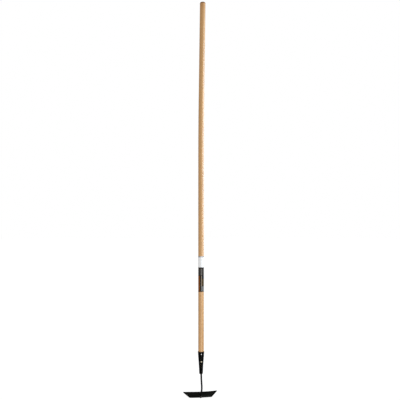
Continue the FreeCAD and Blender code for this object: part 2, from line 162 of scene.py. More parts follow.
def settle(item, node, slot, *materials):
    """The piece stands for a CAD node, moves with the hoe's one body and takes the given materials."""
    for material in materials:
        item.data.materials.append(material)
    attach(item, "root")
    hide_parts(node)


def turns(count):
    """Angles that go once round in even steps."""
    return [2 * math.pi * index / count for index in range(count)]


def grain(place, scale, seed=0.0):
    """Smooth noise from -1 to 1 at a place in metres; scale is how many cells there are per metre."""
    return noise.noise(Vector(place) * scale + Vector((seed, 2 * seed, -seed)))


# -------- node helpers
class Nodes:
    """A node tree and short ways to add nodes to it."""

    def __init__(self, tree):
        self.tree = tree

    def add(self, kind, inputs=None, **properties):
        """A new node; inputs are values or sockets, by name or number."""
        item = self.tree.nodes.new(kind)
        for key, value in properties.items():
            setattr(item, key, value)
        for key, value in (inputs or {}).items():
            self.feed(item.inputs[key], value)
        return item

    def feed(self, socket, value):
        if isinstance(value, bpy.types.NodeSocket):
            self.tree.links.new(value, socket)
        else:
            socket.default_value = value

    def math(self, operation, *values):
        return self.add("ShaderNodeMath", dict(enumerate(values)), operation=operation).outputs[0]

    def times(self, first, second):
        return self.math("MULTIPLY", first, second)

    def place(self):
        """Object coordinates, which are metres in the hoe's own frame."""
        return self.add("ShaderNodeTexCoord").outputs["Object"]

    def stretched(self, vector, x, y, z):
        """A vector with its three axes scaled apart."""
        item = self.add("ShaderNodeVectorMath", {0: vector, 1: (x, y, z)}, operation="MULTIPLY")
        return item.outputs[0]

    def noise(self, vector, scale=1.0, detail=2.0, roughness=0.5):
        item = self.add("ShaderNodeTexNoise", {"Vector": vector, "Scale": scale, "Detail": detail,
                                               "Roughness": roughness})
        return item.outputs["Fac"]

    def ranged(self, value, low, high, new_low=0.0, new_high=1.0, smooth=False):
        item = self.add("ShaderNodeMapRange", {"Value": value, "From Min": low, "From Max": high,
                                               "To Min": new_low, "To Max": new_high})
        item.interpolation_type = "SMOOTHSTEP" if smooth else "LINEAR"
        return item.outputs["Result"]

    def mixed(self, share, first, second, blend="MIX"):
        """Two colours mixed by a share, which is a number or a socket."""
        item = self.add("ShaderNodeMix", data_type="RGBA", blend_type=blend)
        self.feed(item.inputs["Factor"], share)
        for name, value in (("A", first), ("B", second)):
            socket = next(s for s in item.inputs if s.name == name and s.type == "RGBA")
            if isinstance(value, tuple):
                value = (*value, 1.0)
            self.feed(socket, value)
        return next(s for s in item.outputs if s.type == "RGBA")

    def ramp(self, value, stops):
        """A colour ramp through (place, colour) stops."""
        item = self.add("ShaderNodeValToRGB", {"Fac": value})
        elements = item.color_ramp.elements
        while len(elements) < len(stops):
            elements.new(0.5)
        for element, (place, colour) in zip(elements, stops):
            element.position = place
            element.color = (*colour, 1.0)
        return item.outputs["Color"]


class Shader(Nodes):
    """A material with a Principled shader."""

    def __init__(self, name, **values):
        self.material = bpy.data.materials.new(name)
        self.material.use_nodes = True
        super().__init__(self.material.node_tree)
        self.surface = self.tree.nodes["Principled BSDF"]
        for socket, value in values.items():
            self.surface.inputs[socket.replace("_", " ")].default_value = value

    def bump(self, height, distance, strength=1.0):
        item = self.add("ShaderNodeBump", {"Height": height, "Distance": distance, "Strength": strength})
        self.set("Normal", item.outputs["Normal"])

    def set(self, socket, value):
        self.feed(self.surface.inputs[socket], value)


# -------- materials
BARE_STEEL = (0.16, 0.155, 0.15)
SCUFFED_PAINT = (0.055, 0.054, 0.050)
HEAT_TINT = (0.085, 0.056, 0.036)
GRIME = (0.02, 0.018, 0.015)
OPEN_PORE = (0.27, 0.14, 0.055)
# darker towards the top of the shaft
TOP_DARKENING = (0.42, 0.155, 0.026)
# end grain of the turned end, with painted shade for the little light from above
END_GRAIN_SHADE = (0.40, 0.26, 0.14)


def make_ash():
    """Straight-grained ash: growth rings cut along the shaft, open pores and a thin varnish."""
    s = Shader("ash_wood", Coat_Weight=0.8, Coat_Roughness=0.42, Coat_IOR=1.65)
    place = s.place()
    slow = s.stretched(place, 9, 9, 1.1)
    drift = s.add("ShaderNodeTexNoise", {"Vector": slow, "Scale": 1.0, "Detail": 2.0}).outputs["Color"]
    shift = s.add("ShaderNodeVectorMath", {0: drift, 1: (0.5, 0.5, 0.5)}, operation="SUBTRACT")
    wander = s.stretched(shift.outputs[0], 0.016, 0.016, 0.0)
    bent = s.add("ShaderNodeVectorMath", {0: place, 1: wander}, operation="ADD").outputs[0]
    axes = s.add("ShaderNodeSeparateXYZ", {0: bent})

    # rings round the heart of the tree, which lay outside the shaft and slightly tilted to it
    heart_x, heart_y, tilt = -34 * MM, 45 * MM, 0.006
    ring_width = 3.1 * MM
    across = s.math("SUBTRACT", axes.outputs["X"], heart_x)
    across = s.math("ADD", across, s.times(axes.outputs["Z"], tilt))
    behind = s.math("SUBTRACT", axes.outputs["Y"], heart_y)
    squared = s.math("ADD", s.times(across, across), s.times(behind, behind))
    ring = s.math("FRACT", s.math("DIVIDE", s.math("SQRT", squared), ring_width))
    tone = s.ramp(ring, [(0.0, (0.44, 0.21, 0.062)), (0.14, (0.50, 0.25, 0.076)),
                         (0.34, (0.64, 0.345, 0.122)), (0.72, (0.62, 0.33, 0.113)),
                         (1.0, (0.53, 0.27, 0.088))])

    broad = s.noise(s.stretched(place, 22, 22, 1.6), detail=3)
    tone = s.mixed(s.ranged(broad, 0.3, 0.7), tone, (0.68, 0.39, 0.155))
    tone = s.mixed(0.62, tone, s.ramp(ring, [(0.0, (0.48, 0.235, 0.072)), (0.3, (0.65, 0.355, 0.13)),
                                             (1.0, (0.59, 0.31, 0.108))]))
    fibre = s.noise(s.stretched(place, 1500, 1500, 26), detail=4, roughness=0.65)
    tone = s.mixed(s.ranged(fibre, 0.3, 0.75, 0.0, 0.35), tone, (0.49, 0.27, 0.10))
    pores = s.ranged(s.noise(s.stretched(place, 2600, 2600, 70), detail=1), 0.62, 0.72)
    early = s.ranged(ring, 0.0, 0.35, 1.0, 0.12)
    open_pores = s.times(pores, early)
    tone = s.mixed(s.times(open_pores, 0.75), tone, OPEN_PORE)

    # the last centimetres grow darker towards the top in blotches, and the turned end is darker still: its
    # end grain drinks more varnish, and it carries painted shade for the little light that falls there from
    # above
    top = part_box("handle")[1].z
    height = s.add("ShaderNodeSeparateXYZ", {0: place}).outputs["Z"]
    smudge = s.ranged(s.noise(place, scale=140, detail=3), 0.3, 0.6, 0.35, 1.0)
    darkened_top = s.times(s.ranged(height, top - 50 * MM, top - 4 * MM), smudge)
    tone = s.mixed(s.times(darkened_top, 0.5), tone, TOP_DARKENING)
    # painted shade on the turned end, along with its darker end grain
    end = s.ranged(height, top - 8.5 * MM, top - 3 * MM, smooth=True)
    tone = s.mixed(end, tone, END_GRAIN_SHADE, blend="MULTIPLY")
    s.set("Base Color", tone)
    s.set("Roughness", s.ranged(fibre, 0.3, 0.7, 0.36, 0.50))
    relief = s.math("SUBTRACT", s.times(fibre, 0.35), open_pores)
    s.bump(relief, 0.00009, 0.35)
    return s.material


def make_paint(name, base, gloss, rough_low, rough_high, chips, scuffs):
    """Black paint on forged steel: orange peel, dust, fine scuffs, and bare metal where edges have worn."""
    s = Shader(name, Specular_IOR_Level=gloss)
    place = s.place()
    cloud = s.noise(place, scale=70, detail=4, roughness=0.6)
    broad = s.noise(place, scale=19, detail=3)
    peel = s.noise(place, scale=900, detail=1)
    raised = s.add("ShaderNodeNewGeometry").outputs["Pointiness"]
    worn = s.ranged(raised, 0.53, 0.60)
    worn = s.times(worn, s.ranged(s.noise(place, scale=380, detail=3), 0.44, 0.56))
    worn = s.times(worn, chips)

    # scuffs lie in patches and mostly run the way that the tool is drawn, some of them slanting
    slant = {"Vector": place, "Angle": math.radians(28)}
    turned = s.add("ShaderNodeVectorRotate", slant, rotation_type="Z_AXIS")
    drawn = s.ranged(s.noise(s.stretched(place, 1300, 42, 110), detail=2), 0.60, 0.70)
    slanting = s.ranged(s.noise(s.stretched(turned.outputs[0], 1500, 60, 90), detail=2), 0.64, 0.72)
    scuffed = s.times(s.math("MAXIMUM", drawn, slanting), s.ranged(broad, 0.44, 0.62, 0.15, 1.0))
    scuffed = s.times(scuffed, scuffs)

    dust = tuple(min(1.0, 2.6 * part + 0.003) for part in base)
    tone = s.mixed(s.ranged(cloud, 0.40, 0.74, 0.0, 0.6), base, dust)
    tone = s.mixed(s.ranged(broad, 0.36, 0.66, 0.45, 0.0), tone, tuple(0.5 * part for part in base))
    tone = s.mixed(s.times(scuffed, 0.6), tone, SCUFFED_PAINT)
    s.set("Base Color", s.mixed(worn, tone, BARE_STEEL))
    rough = s.ranged(s.math("ADD", cloud, broad), 0.7, 1.3, rough_low, rough_high)
    s.set("Roughness", s.math("ADD", rough, s.times(scuffed, 0.16)))
    relief = s.math("ADD", s.times(peel, 0.3), cloud)
    s.bump(s.math("SUBTRACT", relief, s.times(scuffed, 0.35)), 0.00012, 0.4)
    return s.material


def make_weld(name, oxide, bright):
    """Weld metal under a thin coat of paint: dark oxide with heat tints, and steel showing on the ripples."""
    s = Shader(name, Metallic=0.75)
    place = s.place()
    blotch = s.noise(place, scale=260, detail=4, roughness=0.6)
    heat = s.noise(place, scale=110, detail=2)
    raised = s.add("ShaderNodeNewGeometry").outputs["Pointiness"]
    tone = s.mixed(s.ranged(blotch, 0.38, 0.66), oxide, tuple(2.2 * part for part in oxide))
    tone = s.mixed(s.ranged(heat, 0.5, 0.7, 0.0, 0.5), tone, HEAT_TINT)
    patchy = s.ranged(blotch, 0.40, 0.60, 0.3, 1.0)
    ridges = s.times(s.ranged(raised, 0.51, 0.60, 0.0, 0.6), patchy)
    s.set("Base Color", s.mixed(ridges, tone, bright))
    s.set("Roughness", s.ranged(blotch, 0.3, 0.7, 0.30, 0.52))
    s.bump(s.noise(place, scale=1100, detail=3), 0.00009, 0.6)
    return s.material


def make_ground_steel():
    """The ground bevel: bare steel with fine lines left by the wheel across the edge."""
    s = Shader("ground_steel", Metallic=1.0)
    place = s.place()
    lines = s.noise(s.stretched(place, 2600, 60, 60), detail=2)
    stain = s.noise(place, scale=90, detail=4)
    s.set("Base Color", s.mixed(s.ranged(stain, 0.35, 0.7), (0.52, 0.52, 0.51), (0.30, 0.28, 0.25)))
    s.set("Roughness", s.ranged(lines, 0.3, 0.7, 0.28, 0.5))
    s.bump(lines, 0.00004, 0.5)
    return s.material


def make_metal(name, colour, dull, gloss):
    """A small bright head: hammered metal, partly dulled by a matt film of tarnish."""
    s = Shader(name, Metallic=0.5)
    place = s.place()
    blotch = s.noise(place, scale=520, detail=4, roughness=0.6)
    specks = s.ranged(s.noise(place, scale=2100, detail=2), 0.60, 0.68)
    raised = s.add("ShaderNodeNewGeometry").outputs["Pointiness"]
    tone = s.mixed(s.ranged(blotch, 0.42, 0.70), colour, dull)
    tone = s.mixed(s.times(specks, 0.45), tone, tuple(0.35 * part for part in dull))
    tone = s.mixed(s.ranged(raised, 0.42, 0.49, 0.8, 0.0), tone, GRIME)
    s.set("Base Color", tone)
    s.set("Roughness", s.ranged(blotch, 0.3, 0.7, gloss, gloss + 0.2))
    s.bump(s.noise(place, scale=900, detail=2), 0.00012, 0.7)
    return s.material


def around(s):
    """Angle round the shaft in degrees, 0 in front and rising to the right, and height in millimetres."""
    axes = s.add("ShaderNodeSeparateXYZ", {0: s.place()})
    back = s.times(axes.outputs["Y"], -1.0)
    angle = s.times(s.math("ARCTAN2", axes.outputs["X"], back), math.degrees(1))
    return angle, s.times(axes.outputs["Z"], 1 / MM)


def within(s, value, low, high, soft):
    """1 between two values and 0 outside, with soft edges."""
    rise = s.ranged(value, low - soft, low + soft)
    fall = s.ranged(value, high - soft, high + soft, 1.0, 0.0)
    return s.times(rise, fall)


def make_label_print():
    """The dark printed wrap: plain coloured panels, with no letters or pictures; two pale panels down the
    front are painted highlights.
    """
    s = Shader("label_print", Roughness=0.28, Specular_IOR_Level=0.16)
    angle, height = around(s)
    place = s.place()
    ink = s.noise(place, scale=420, detail=3)
    low, high = (corner.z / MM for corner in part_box("label_band"))
    whole = high - low
    patches = s.noise(s.stretched(place, 60, 60, 150), detail=3)
    rust = s.mixed(s.ranged(patches, 0.35, 0.65), (0.29, 0.075, 0.003), (0.17, 0.048, 0.006))

    # colour, left and right in degrees round the shaft, bottom and top as shares of the film's height
    panels = [((0.042, 0.036, 0.031), -165, 170, 0.68, 0.955),
              # painted highlight: a pale panel down the front for the gloss streak of the front lights
              ((0.15, 0.14, 0.13), -4, 17, 0.68, 0.94),
              (rust, -100, -27, 0.02, 0.655),
              # painted highlight: the same gloss streak, lower down the front
              ((0.22, 0.17, 0.12), 0, 19, 0.23, 0.655),
              ((0.066, 0.042, 0.014), 24, 100, 0.26, 0.53),
              ((0.012, 0.02, 0.032), 24, 70, 0.55, 0.655),
              ((0.17, 0.17, 0.162), 0, 100, 0.03, 0.225)]
    for line in range(5):
        panels.append(((0.07, 0.07, 0.07), 4, 92, 0.055 + 0.033 * line, 0.065 + 0.033 * line))
    panels.append(((0.30, 0.27, 0.22), 128, 165, 0.05, 0.62))

    tone = s.mixed(s.ranged(ink, 0.3, 0.7), (0.013, 0.0105, 0.008), (0.018, 0.015, 0.012))
    for colour, left, right, bottom, top in panels:
        wide = within(s, angle, left, right, 1.2)
        tall = within(s, height, low + bottom * whole, low + top * whole, 0.35)
        tone = s.mixed(s.times(wide, tall), tone, colour)
    s.set("Base Color", tone)
    s.bump(ink, 0.00003, 0.3)
    return s.material


def make_label_white():
    """The plain white top of the wrap, with a thin blue-grey line along its upper edge that is darker towards
    the sides and painted paler across the front as a highlight.
    """
    s = Shader("label_white", Roughness=0.42, Coat_Weight=0.2, Coat_Roughness=0.2)
    angle, height = around(s)
    place = s.place()
    paper = s.noise(place, scale=600, detail=3)
    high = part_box("label_header")[1].z / MM
    tone = s.mixed(s.ranged(paper, 0.3, 0.7), (0.80, 0.80, 0.80), (0.84, 0.84, 0.835))
    line = within(s, height, high - 5.0, high - 0.9, 0.35)
    # painted highlight: the line is made paler across the front, where the front lights fall, and so darker
    # towards the sides
    front_highlight = s.times(within(s, angle, -12, 26, 14), 0.6)
    line = s.times(line, s.math("SUBTRACT", 0.92, front_highlight))
    tone = s.mixed(line, tone, (0.13, 0.14, 0.18))
    s.set("Base Color", tone)
    s.set("Roughness", s.ranged(paper, 0.3, 0.7, 0.38, 0.48))
    s.bump(paper, 0.00003, 0.4)
    return s.material


ash = make_ash()
label_print = make_label_print()
label_white = make_label_white()
socket_paint = make_paint("socket_paint", (0.0008, 0.0008, 0.0007), 0.10, 0.17, 0.30, 0.5, 0.12)
neck_paint = make_paint("neck_paint", (0.0012, 0.0012, 0.0010), 0.10, 0.28, 0.40, 0.5, 0.1)
weld_metal = make_weld("weld_metal", (0.045, 0.044, 0.041), (0.24, 0.235, 0.22))
blade_paint = make_paint("blade_paint", (0.0050, 0.0053, 0.0038), 0.11, 0.34, 0.54, 0.9, 0.8)
ground_steel = make_ground_steel()
rivet_metal = make_metal("rivet_metal", (0.98, 0.91, 0.68), (0.78, 0.66, 0.42), 0.24)
nail_metal = make_metal("nail_metal", (0.90, 0.89, 0.87), (0.62, 0.61, 0.59), 0.28)


# -------- ash shaft
def make_handle():
    """The shaft follows the CAD sections, with the slight flats and waves of a turned and sanded stick."""
    rounding = 6.2 * MM    # radius of the turned edge at the top
    sanded = 0.03 * MM    # how far the finished skin lies inside the CAD's
    wave_depth, flat_depth = 0.05 * MM, 0.03 * MM    # sanding waves and five faint flats
    crown, crown_room = 0.25 * MM, 0.3 * MM    # the end's slight doming and the height kept for it
    count = 72
    straight_cuts = 20    # the last cuts, which lie in the straight leaning part
    lean_start = 0.8    # metres above the rim where the rings start to lean

    low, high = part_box("handle")
    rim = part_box("socket")[1].z
    heights = [low.z + 0.5 * MM]
    heights += list(np.linspace(low.z + 4 * MM, rim, 16))
    heights += list(np.linspace(rim + 5 * MM, high.z - 8 * MM, 60))
    cuts = [section("handle", height) for height in heights]
    radius_at = interpolated(heights, [half for _, half in cuts])
    shift_at = interpolated(heights, [centre.x for centre, _ in cuts])
    shaft_radius = cuts[-1][1]
    run = cuts[-1][0].x - cuts[-straight_cuts][0].x
    along = Vector((run / (heights[-1] - heights[-straight_cuts]), 0, 1)).normalized()
    across = Vector((along.z, 0, -along.x))
    top = high.z - 2 * rounding
    rings = []

    def ring(centre, radius, tilted):
        side = across if tilted else Vector((1, 0, 0))
        points = []
        for turn in turns(count):
            direction = side * math.sin(turn) + Vector((0, -1, 0)) * math.cos(turn)
            wave = wave_depth * grain((direction.x * 0.02, direction.y * 0.02, centre.z * 0.25), 130)
            flat = flat_depth * math.cos(5 * turn + centre.z * 2)
            points.append(centre + direction * (radius + (wave + flat) * radius / shaft_radius))
        return points

    for height in list(np.linspace(low.z, rim, 14)) + list(np.linspace(rim + 3 * MM, top, 220)):
        centre = Vector((shift_at(height), 0, height))
        rings.append(ring(centre, radius_at(height) - sanded, height > rim + lean_start))
    start = Vector((shift_at(top), 0, top))
    tip = (high.z - start.z) / along.z - crown_room
    steps = 12
    for step in range(steps + 1):
        angle = math.radians(90) * step / steps
        reach = tip - rounding + rounding * math.sin(angle)
        radius = shaft_radius - sanded - rounding * (1 - math.cos(angle))
        rings.append(ring(start + along * reach, radius, True))
    for share in (0.8, 0.55, 0.3, 0.12):
        rise = crown * (1 - share * share)
        rings.append(ring(start + along * (tip + rise), (shaft_radius - rounding) * share, True))
    shaft = loft("ash_shaft", rings)
    settle(shaft, "handle", "ash_wood", ash)
    return shaft_radius


# -------- rolled socket
def make_socket(shaft_radius):
    """Sheet rolled into a cone: its edges meet in a slanting seam and its free corner is rounded off."""
    low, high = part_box("socket")
    heights = list(np.linspace(low.z + 0.2 * MM, high.z - 0.05 * MM, 40))
    levels = [cut_points("socket", Vector((0, 0, height)), UP) for height in heights]
    outside = interpolated(heights, [-min(point.x for point in level) for level in levels])
    wall = outside(high.z) - shaft_radius
    seam_rim, seam_mouth = -4.6 * MM, 2.3 * MM    # the seam's X at the rim and at the mouth
    gap_rim, gap_mouth = 0.3 * MM, 0.8 * MM
    corner = 2.6 * MM    # radius of the free corner at the mouth
    sprung, sprung_columns = 0.25 * MM, 9    # lift of the free edge, and the columns it takes to settle
    rivet_dent, nail_dent = 0.22 * MM, 0.18 * MM    # how far the sheet is driven in round the heads
    broad_marks, fine_marks = 0.09 * MM, 0.035 * MM    # heights of the forging marks
    inset, thinned = 0.05 * MM, 0.06 * MM    # keep the sheet inside the CAD's skin and off the wood
    columns, rows = 168, 96

    def lower_edge(turn):
        """The mouth's height round the cone: its right-hand side is rounded up."""
        mouth = outside(low.z)
        x = mouth * math.sin(turn)
        past = max(x - (mouth - corner), 0.0)
        return low.z + corner - math.sqrt(max(corner * corner - past * past, 0.0))

    def dent(x, height, place, radius, depth):
        away = math.hypot(x - place.x, height - place.z)
        return -depth * math.exp(-((away / (1.5 * radius)) ** 2))

    outer, inner = [], []
    for row in range(rows + 1):
        for column in range(columns + 1):
            share = column / columns
            guess = low.z + (high.z - low.z) * row / rows
            part = (guess - low.z) / (high.z - low.z)
            seam = seam_mouth + (seam_rim - seam_mouth) * part
            gap = gap_mouth + (gap_rim - gap_mouth) * part
            radius = outside(guess)
            start = math.asin((seam + gap / 2) / radius)
            end = math.asin((seam - gap / 2) / radius) + 2 * math.pi
            turn = start + (end - start) * share
            height = lower_edge(turn) + (high.z - lower_edge(turn)) * row / rows
            radius = outside(height)
            direction = Vector((math.sin(turn), -math.cos(turn), 0))
            x = radius * direction.x
            dents = dent(x, height, rivet_place, rivet_radius, rivet_dent)
            if direction.y < 0:
                dents += dent(x, height, nail_place, nail_radius, nail_dent)
            lift = sprung * math.exp(-share * columns / sprung_columns) * (1 - part) ** 2
            forged = broad_marks * grain((direction.x * 0.012, direction.y * 0.012, height * 0.6), 210)
            forged += fine_marks * grain((direction.x * 0.012, direction.y * 0.012, height), 520, 3.0)
            edge = min(1.0, 6 * min(part, 1 - part))
            skin = radius + dents + lift + forged * edge - inset
            outer.append(Vector((direction.x * skin, direction.y * skin, height)))
            hollow = skin - wall + thinned
            inner.append(Vector((direction.x * hollow, direction.y * hollow, height)))
    socket = sheet("rolled_socket", outer, inner, rows, columns)
    round_edges(socket, 0.4 * MM, 50)
    settle(socket, "socket", "black_steel", socket_paint)
    return outside


shaft_radius = make_handle()
socket_outside = make_socket(shaft_radius)


# -------- rivet and nail
def lathe(name, place, axis, stations, count=40):
    """A turned solid: rings of the given radii at distances along an axis, with hammer marks on its heads."""
    hammered = 0.07 * MM    # height of the hammer marks
    side = axis.orthogonal().normalized()
    other = axis.cross(side)
    rings = []
    for along, radius in stations:
        ring = []
        for turn in turns(count):
            direction = side * math.cos(turn) + other * math.sin(turn)
            point = place + axis * along + direction * radius
            dent = hammered * grain(point, 700, 2.0)
            ring.append(point + direction * dent * min(1.0, radius / MM) - axis * dent)
        rings.append(ring)
    return loft(name, rings)


def dome(base, radius, crown):
    """Stations of a domed head from its rim at base to the flattened top of its crown."""
    rim = 0.12    # share of the crown's height that is the upright rim
    steps = 9
    stations = [(base, radius * 0.97), (base + rim * crown, radius)]
    for step in range(1, steps + 1):
        angle = math.radians(88) * step / steps
        rise = rim + (1 - rim) * math.sin(angle) ** 0.92
        stations.append((base + crown * rise, radius * math.cos(angle) ** 0.9))
    return stations


def make_rivet(outside):
    """A through rivet, its head set down on the cone in front and behind."""
    sunk = 0.35 * MM    # how far the heads' rims sit in the sheet
    seat = outside(rivet_place.z) - sunk
    crown = rivet_high.y - seat
    shank = rivet_radius * 0.6
    head = dome(seat, rivet_radius, crown)
    back = [(along, radius) for along, radius in reversed(head)]
    front = [(-along, radius) for along, radius in head]
    stations = back + [(seat - 0.5 * MM, shank), (0.0, shank), (0.5 * MM - seat, shank)] + front
    rivet = lathe("through_rivet", Vector((rivet_place.x, 0, rivet_place.z)), Vector((0, 1, 0)), stations)
    settle(rivet, "socket_rivet", "rivet_metal", rivet_metal)


def make_nail(outside):
    """A short nail driven in from the front, near the rim."""
    sunk = 0.3 * MM    # how far the head's rim sits in the sheet
    seat = outside(nail_place.z) - sunk
    crown = -nail_low.y - seat
    shank = nail_radius * 0.5
    point = -nail_high.y
    stations = list(reversed(dome(seat, nail_radius, crown)))
    stations += [(seat - 0.4 * MM, shank), (point + 2.5 * MM, shank * 0.95), (point, shank * 0.15)]
    nail = lathe("wire_nail", Vector((nail_place.x, 0, nail_place.z)), Vector((0, -1, 0)), stations, count=32)
    settle(nail, "socket_nail", "nail_metal", nail_metal)


make_rivet(socket_outside)
make_nail(socket_outside)


# -------- the blade's own axes
class BladeAxes:
    """Origin and axes on the CAD blade.

    x runs across, y from the narrow edge to the cutting edge, and z out of the upper face.
    """

    def __init__(self):
        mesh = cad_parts["blade"].data
        self.z = Vector()
        for face in mesh.polygons:
            if face.normal.z > 0.8:
                self.z += face.normal * face.area
        self.z.normalize()
        back = [face for face in mesh.polygons if face.normal.y < -0.9]
        self.y = -sum((face.normal * face.area for face in back), Vector()).normalized()
        self.x = self.y.cross(self.z).normalized()
        self.z = self.x.cross(self.y)
        edge = [mesh.vertices[index].co for face in back for index in face.vertices]
        lows = [min(point.dot(axis) for point in edge) for axis in (self.x, self.y, self.z)]
        highs = [max(point.dot(axis) for point in edge) for axis in (self.x, self.y, self.z)]
        middle = self.x * (lows[0] + highs[0]) / 2
        self.origin = middle + self.y * lows[1] + self.z * lows[2]
        self.depth = max(self.local(vertex.co).y for vertex in mesh.vertices)
        ends = [self.local(point) for point in edge]
        far = max(abs(point.x) for point in ends)
        under = min(point.z for point in ends if abs(point.x) > far - 0.5 * MM)
        self.curve = far ** 2 / (2 * under)
        self.thickness = max(point.z for point in ends) - under

    def local(self, point):
        shift = point - self.origin
        return Vector((shift.dot(self.x), shift.dot(self.y), shift.dot(self.z)))

    def world(self, x, y, z):
        return self.origin + self.x * x + self.y * y + self.z * z


axes = BladeAxes()


# -------- dished blade
def make_blade(axes):
    """A dished trapezoid plate with rounded edges and a ground bevel under its long cutting edge."""
    rounding, edge_rounding = 0.38 * MM, 0.2 * MM    # of the plate's edges, and along the cutting edge
    bevel_length, bevel_land = 7 * MM, 0.5 * MM
    pressing, hammering = 0.16 * MM, 0.045 * MM    # heights of the plate's waves
    nicking, wearing, worn_band = 0.30 * MM, 0.12 * MM, 4 * MM    # depths of wear, and how far it reaches
    columns = 150
    corner_steps = 5

    depth = axes.depth
    bevel_start = depth - bevel_length
    end_steps = [rounding * (1 - math.cos(math.radians(angle))) for angle in (0, 20, 40, 60, 80)]
    rows = end_steps + list(np.linspace(rounding, 2.6 * MM, 10))
    rows += list(np.linspace(3.2 * MM, bevel_start - 0.5 * MM, 62))
    rows += [bevel_start - 0.15 * MM, bevel_start + 0.15 * MM]
    rows += list(np.linspace(bevel_start + 0.6 * MM, depth - 2.6 * MM, 9))
    rows += list(np.linspace(depth - 2.2 * MM, depth - rounding, 9))
    rows += [depth - step for step in reversed(end_steps)]

    def half_widths(place):
        inside = min(max(place, 0.06 * MM), depth - 0.06 * MM)
        points = [axes.local(point) for point in cut_points("blade", axes.world(0, inside, 0), axes.y)]
        return min(point.x for point in points), max(point.x for point in points)

    def end_inset(place, size):
        away = min(place, depth - place)
        if away >= size:
            return 0.0
        return size - math.sqrt(size * size - (size - away) ** 2)

    def on_plate(x, y, z):
        """Bends the flat plate, with the slight waves that pressing and hammering leave."""
        dish = x * x / (2 * axes.curve)
        wave = pressing * grain((x, y, 0), 22, 1.0) + hammering * grain((x, y, 0), 95, 5.0)
        nick = nicking * max(0.0, grain((x, 0, 0), 170, 7.0) - 0.25) + wearing * grain((x, 0, 0), 60, 4.0)
        worn = max(0.0, 1 - (depth - y) / worn_band)
        return axes.world(x, y - (0.1 * MM + nick) * worn, z + dish + wave)

    rings = []
    for place in rows:
        left, right = half_widths(place)
        cut = max(0.0, place - bevel_start) / bevel_length
        under = (axes.thickness - bevel_land) * cut
        inset = end_inset(place, edge_rounding if place > depth / 2 else rounding)
        top, bottom = axes.thickness - inset, under + inset
        corner = min(rounding, 0.42 * (top - bottom))

        def quarter(x, z, start):
            angles = [math.radians(start + 90 * step / corner_steps) for step in range(1, corner_steps)]
            return [(x + corner * math.sin(angle), z + corner * math.cos(angle)) for angle in angles]

        across = list(np.linspace(left + corner, right - corner, columns + 1))
        outline = [(left, (top + bottom) / 2)] + quarter(left + corner, top - corner, 270)
        outline += [(x, top) for x in across] + quarter(right - corner, top - corner, 0)
        outline += [(right, (top + bottom) / 2)] + quarter(right - corner, bottom + corner, 90)
        outline += [(x, bottom) for x in reversed(across)] + quarter(left + corner, bottom + corner, 180)
        rings.append([on_plate(x, place, z) for x, z in outline])

    blade = loft("dished_blade", rings, flat=True)
    settle(blade, "blade", "blade_steel", blade_paint, ground_steel)
    for face in blade.data.polygons:
        centre = axes.local(face.center)
        if centre.y > bevel_start and face.normal.dot(axes.z) < -0.5:
            face.material_index = 1


make_blade(axes)


# -------- swan neck
def circle_centre(points, normal):
    """Centre of the circle that fits points in a plane best."""
    side = normal.orthogonal().normalized()
    other = normal.cross(side)
    flat = np.array([(point.dot(side), point.dot(other)) for point in points])
    equations = np.column_stack([2 * flat, np.ones(len(flat))])
    across, along, _ = np.linalg.lstsq(equations, (flat ** 2).sum(axis=1), rcond=None)[0]
    return side * across + other * along


def follow_bar(node, start, direction, radius, until):
    """Centres of a round bar's sections, a short step apart, from its start until a direction is reached."""
    step = 1.2 * MM
    reached = 0.995    # cosine of the small angle that is left
    line = [start]
    while direction.dot(until) < reached:
        ahead = line[-1] + direction * step
        offsets = [point - ahead for point in cut_points(node, ahead, direction)]
        ring = [offset for offset in offsets if offset.length < 1.6 * radius]
        centre = ahead + circle_centre(ring, direction)
        direction = (centre - line[-1]).normalized()
        line.append(centre)
    return line


def lengths_along(line):
    """How far along a line each of its points lies."""
    lengths = [0.0]
    for first, second in zip(line, line[1:]):
        lengths.append(lengths[-1] + (second - first).length)
    return lengths


def resampled(line, step):
    """Points a short even step apart along a line."""
    lengths = lengths_along(line)
    places = np.linspace(0, lengths[-1], max(2, round(lengths[-1] / step)))
    columns = [np.interp(places, lengths, [point[axis] for point in line]) for axis in range(3)]
    return [Vector(point) for point in zip(*columns)]


def smoothed(line, rounds):
    """A line with its small unevenness averaged away, its ends kept."""
    for _ in range(rounds):
        middle = [(a + 2 * b + c) / 4 for a, b, c in zip(line, line[1:], line[2:])]
        line = [line[0]] + middle + [line[-1]]
    return line


def carried_sides(line, side):
    """Direction, side and third axis at each point of a line, turning as little as possible along it."""
    result = []
    for index in range(len(line)):
        before, after = line[max(index - 1, 0)], line[min(index + 1, len(line) - 1)]
        direction = (after - before).normalized()
        side = (side - direction * side.dot(direction)).normalized()
        result.append((direction, side, side.cross(direction)))
    return result


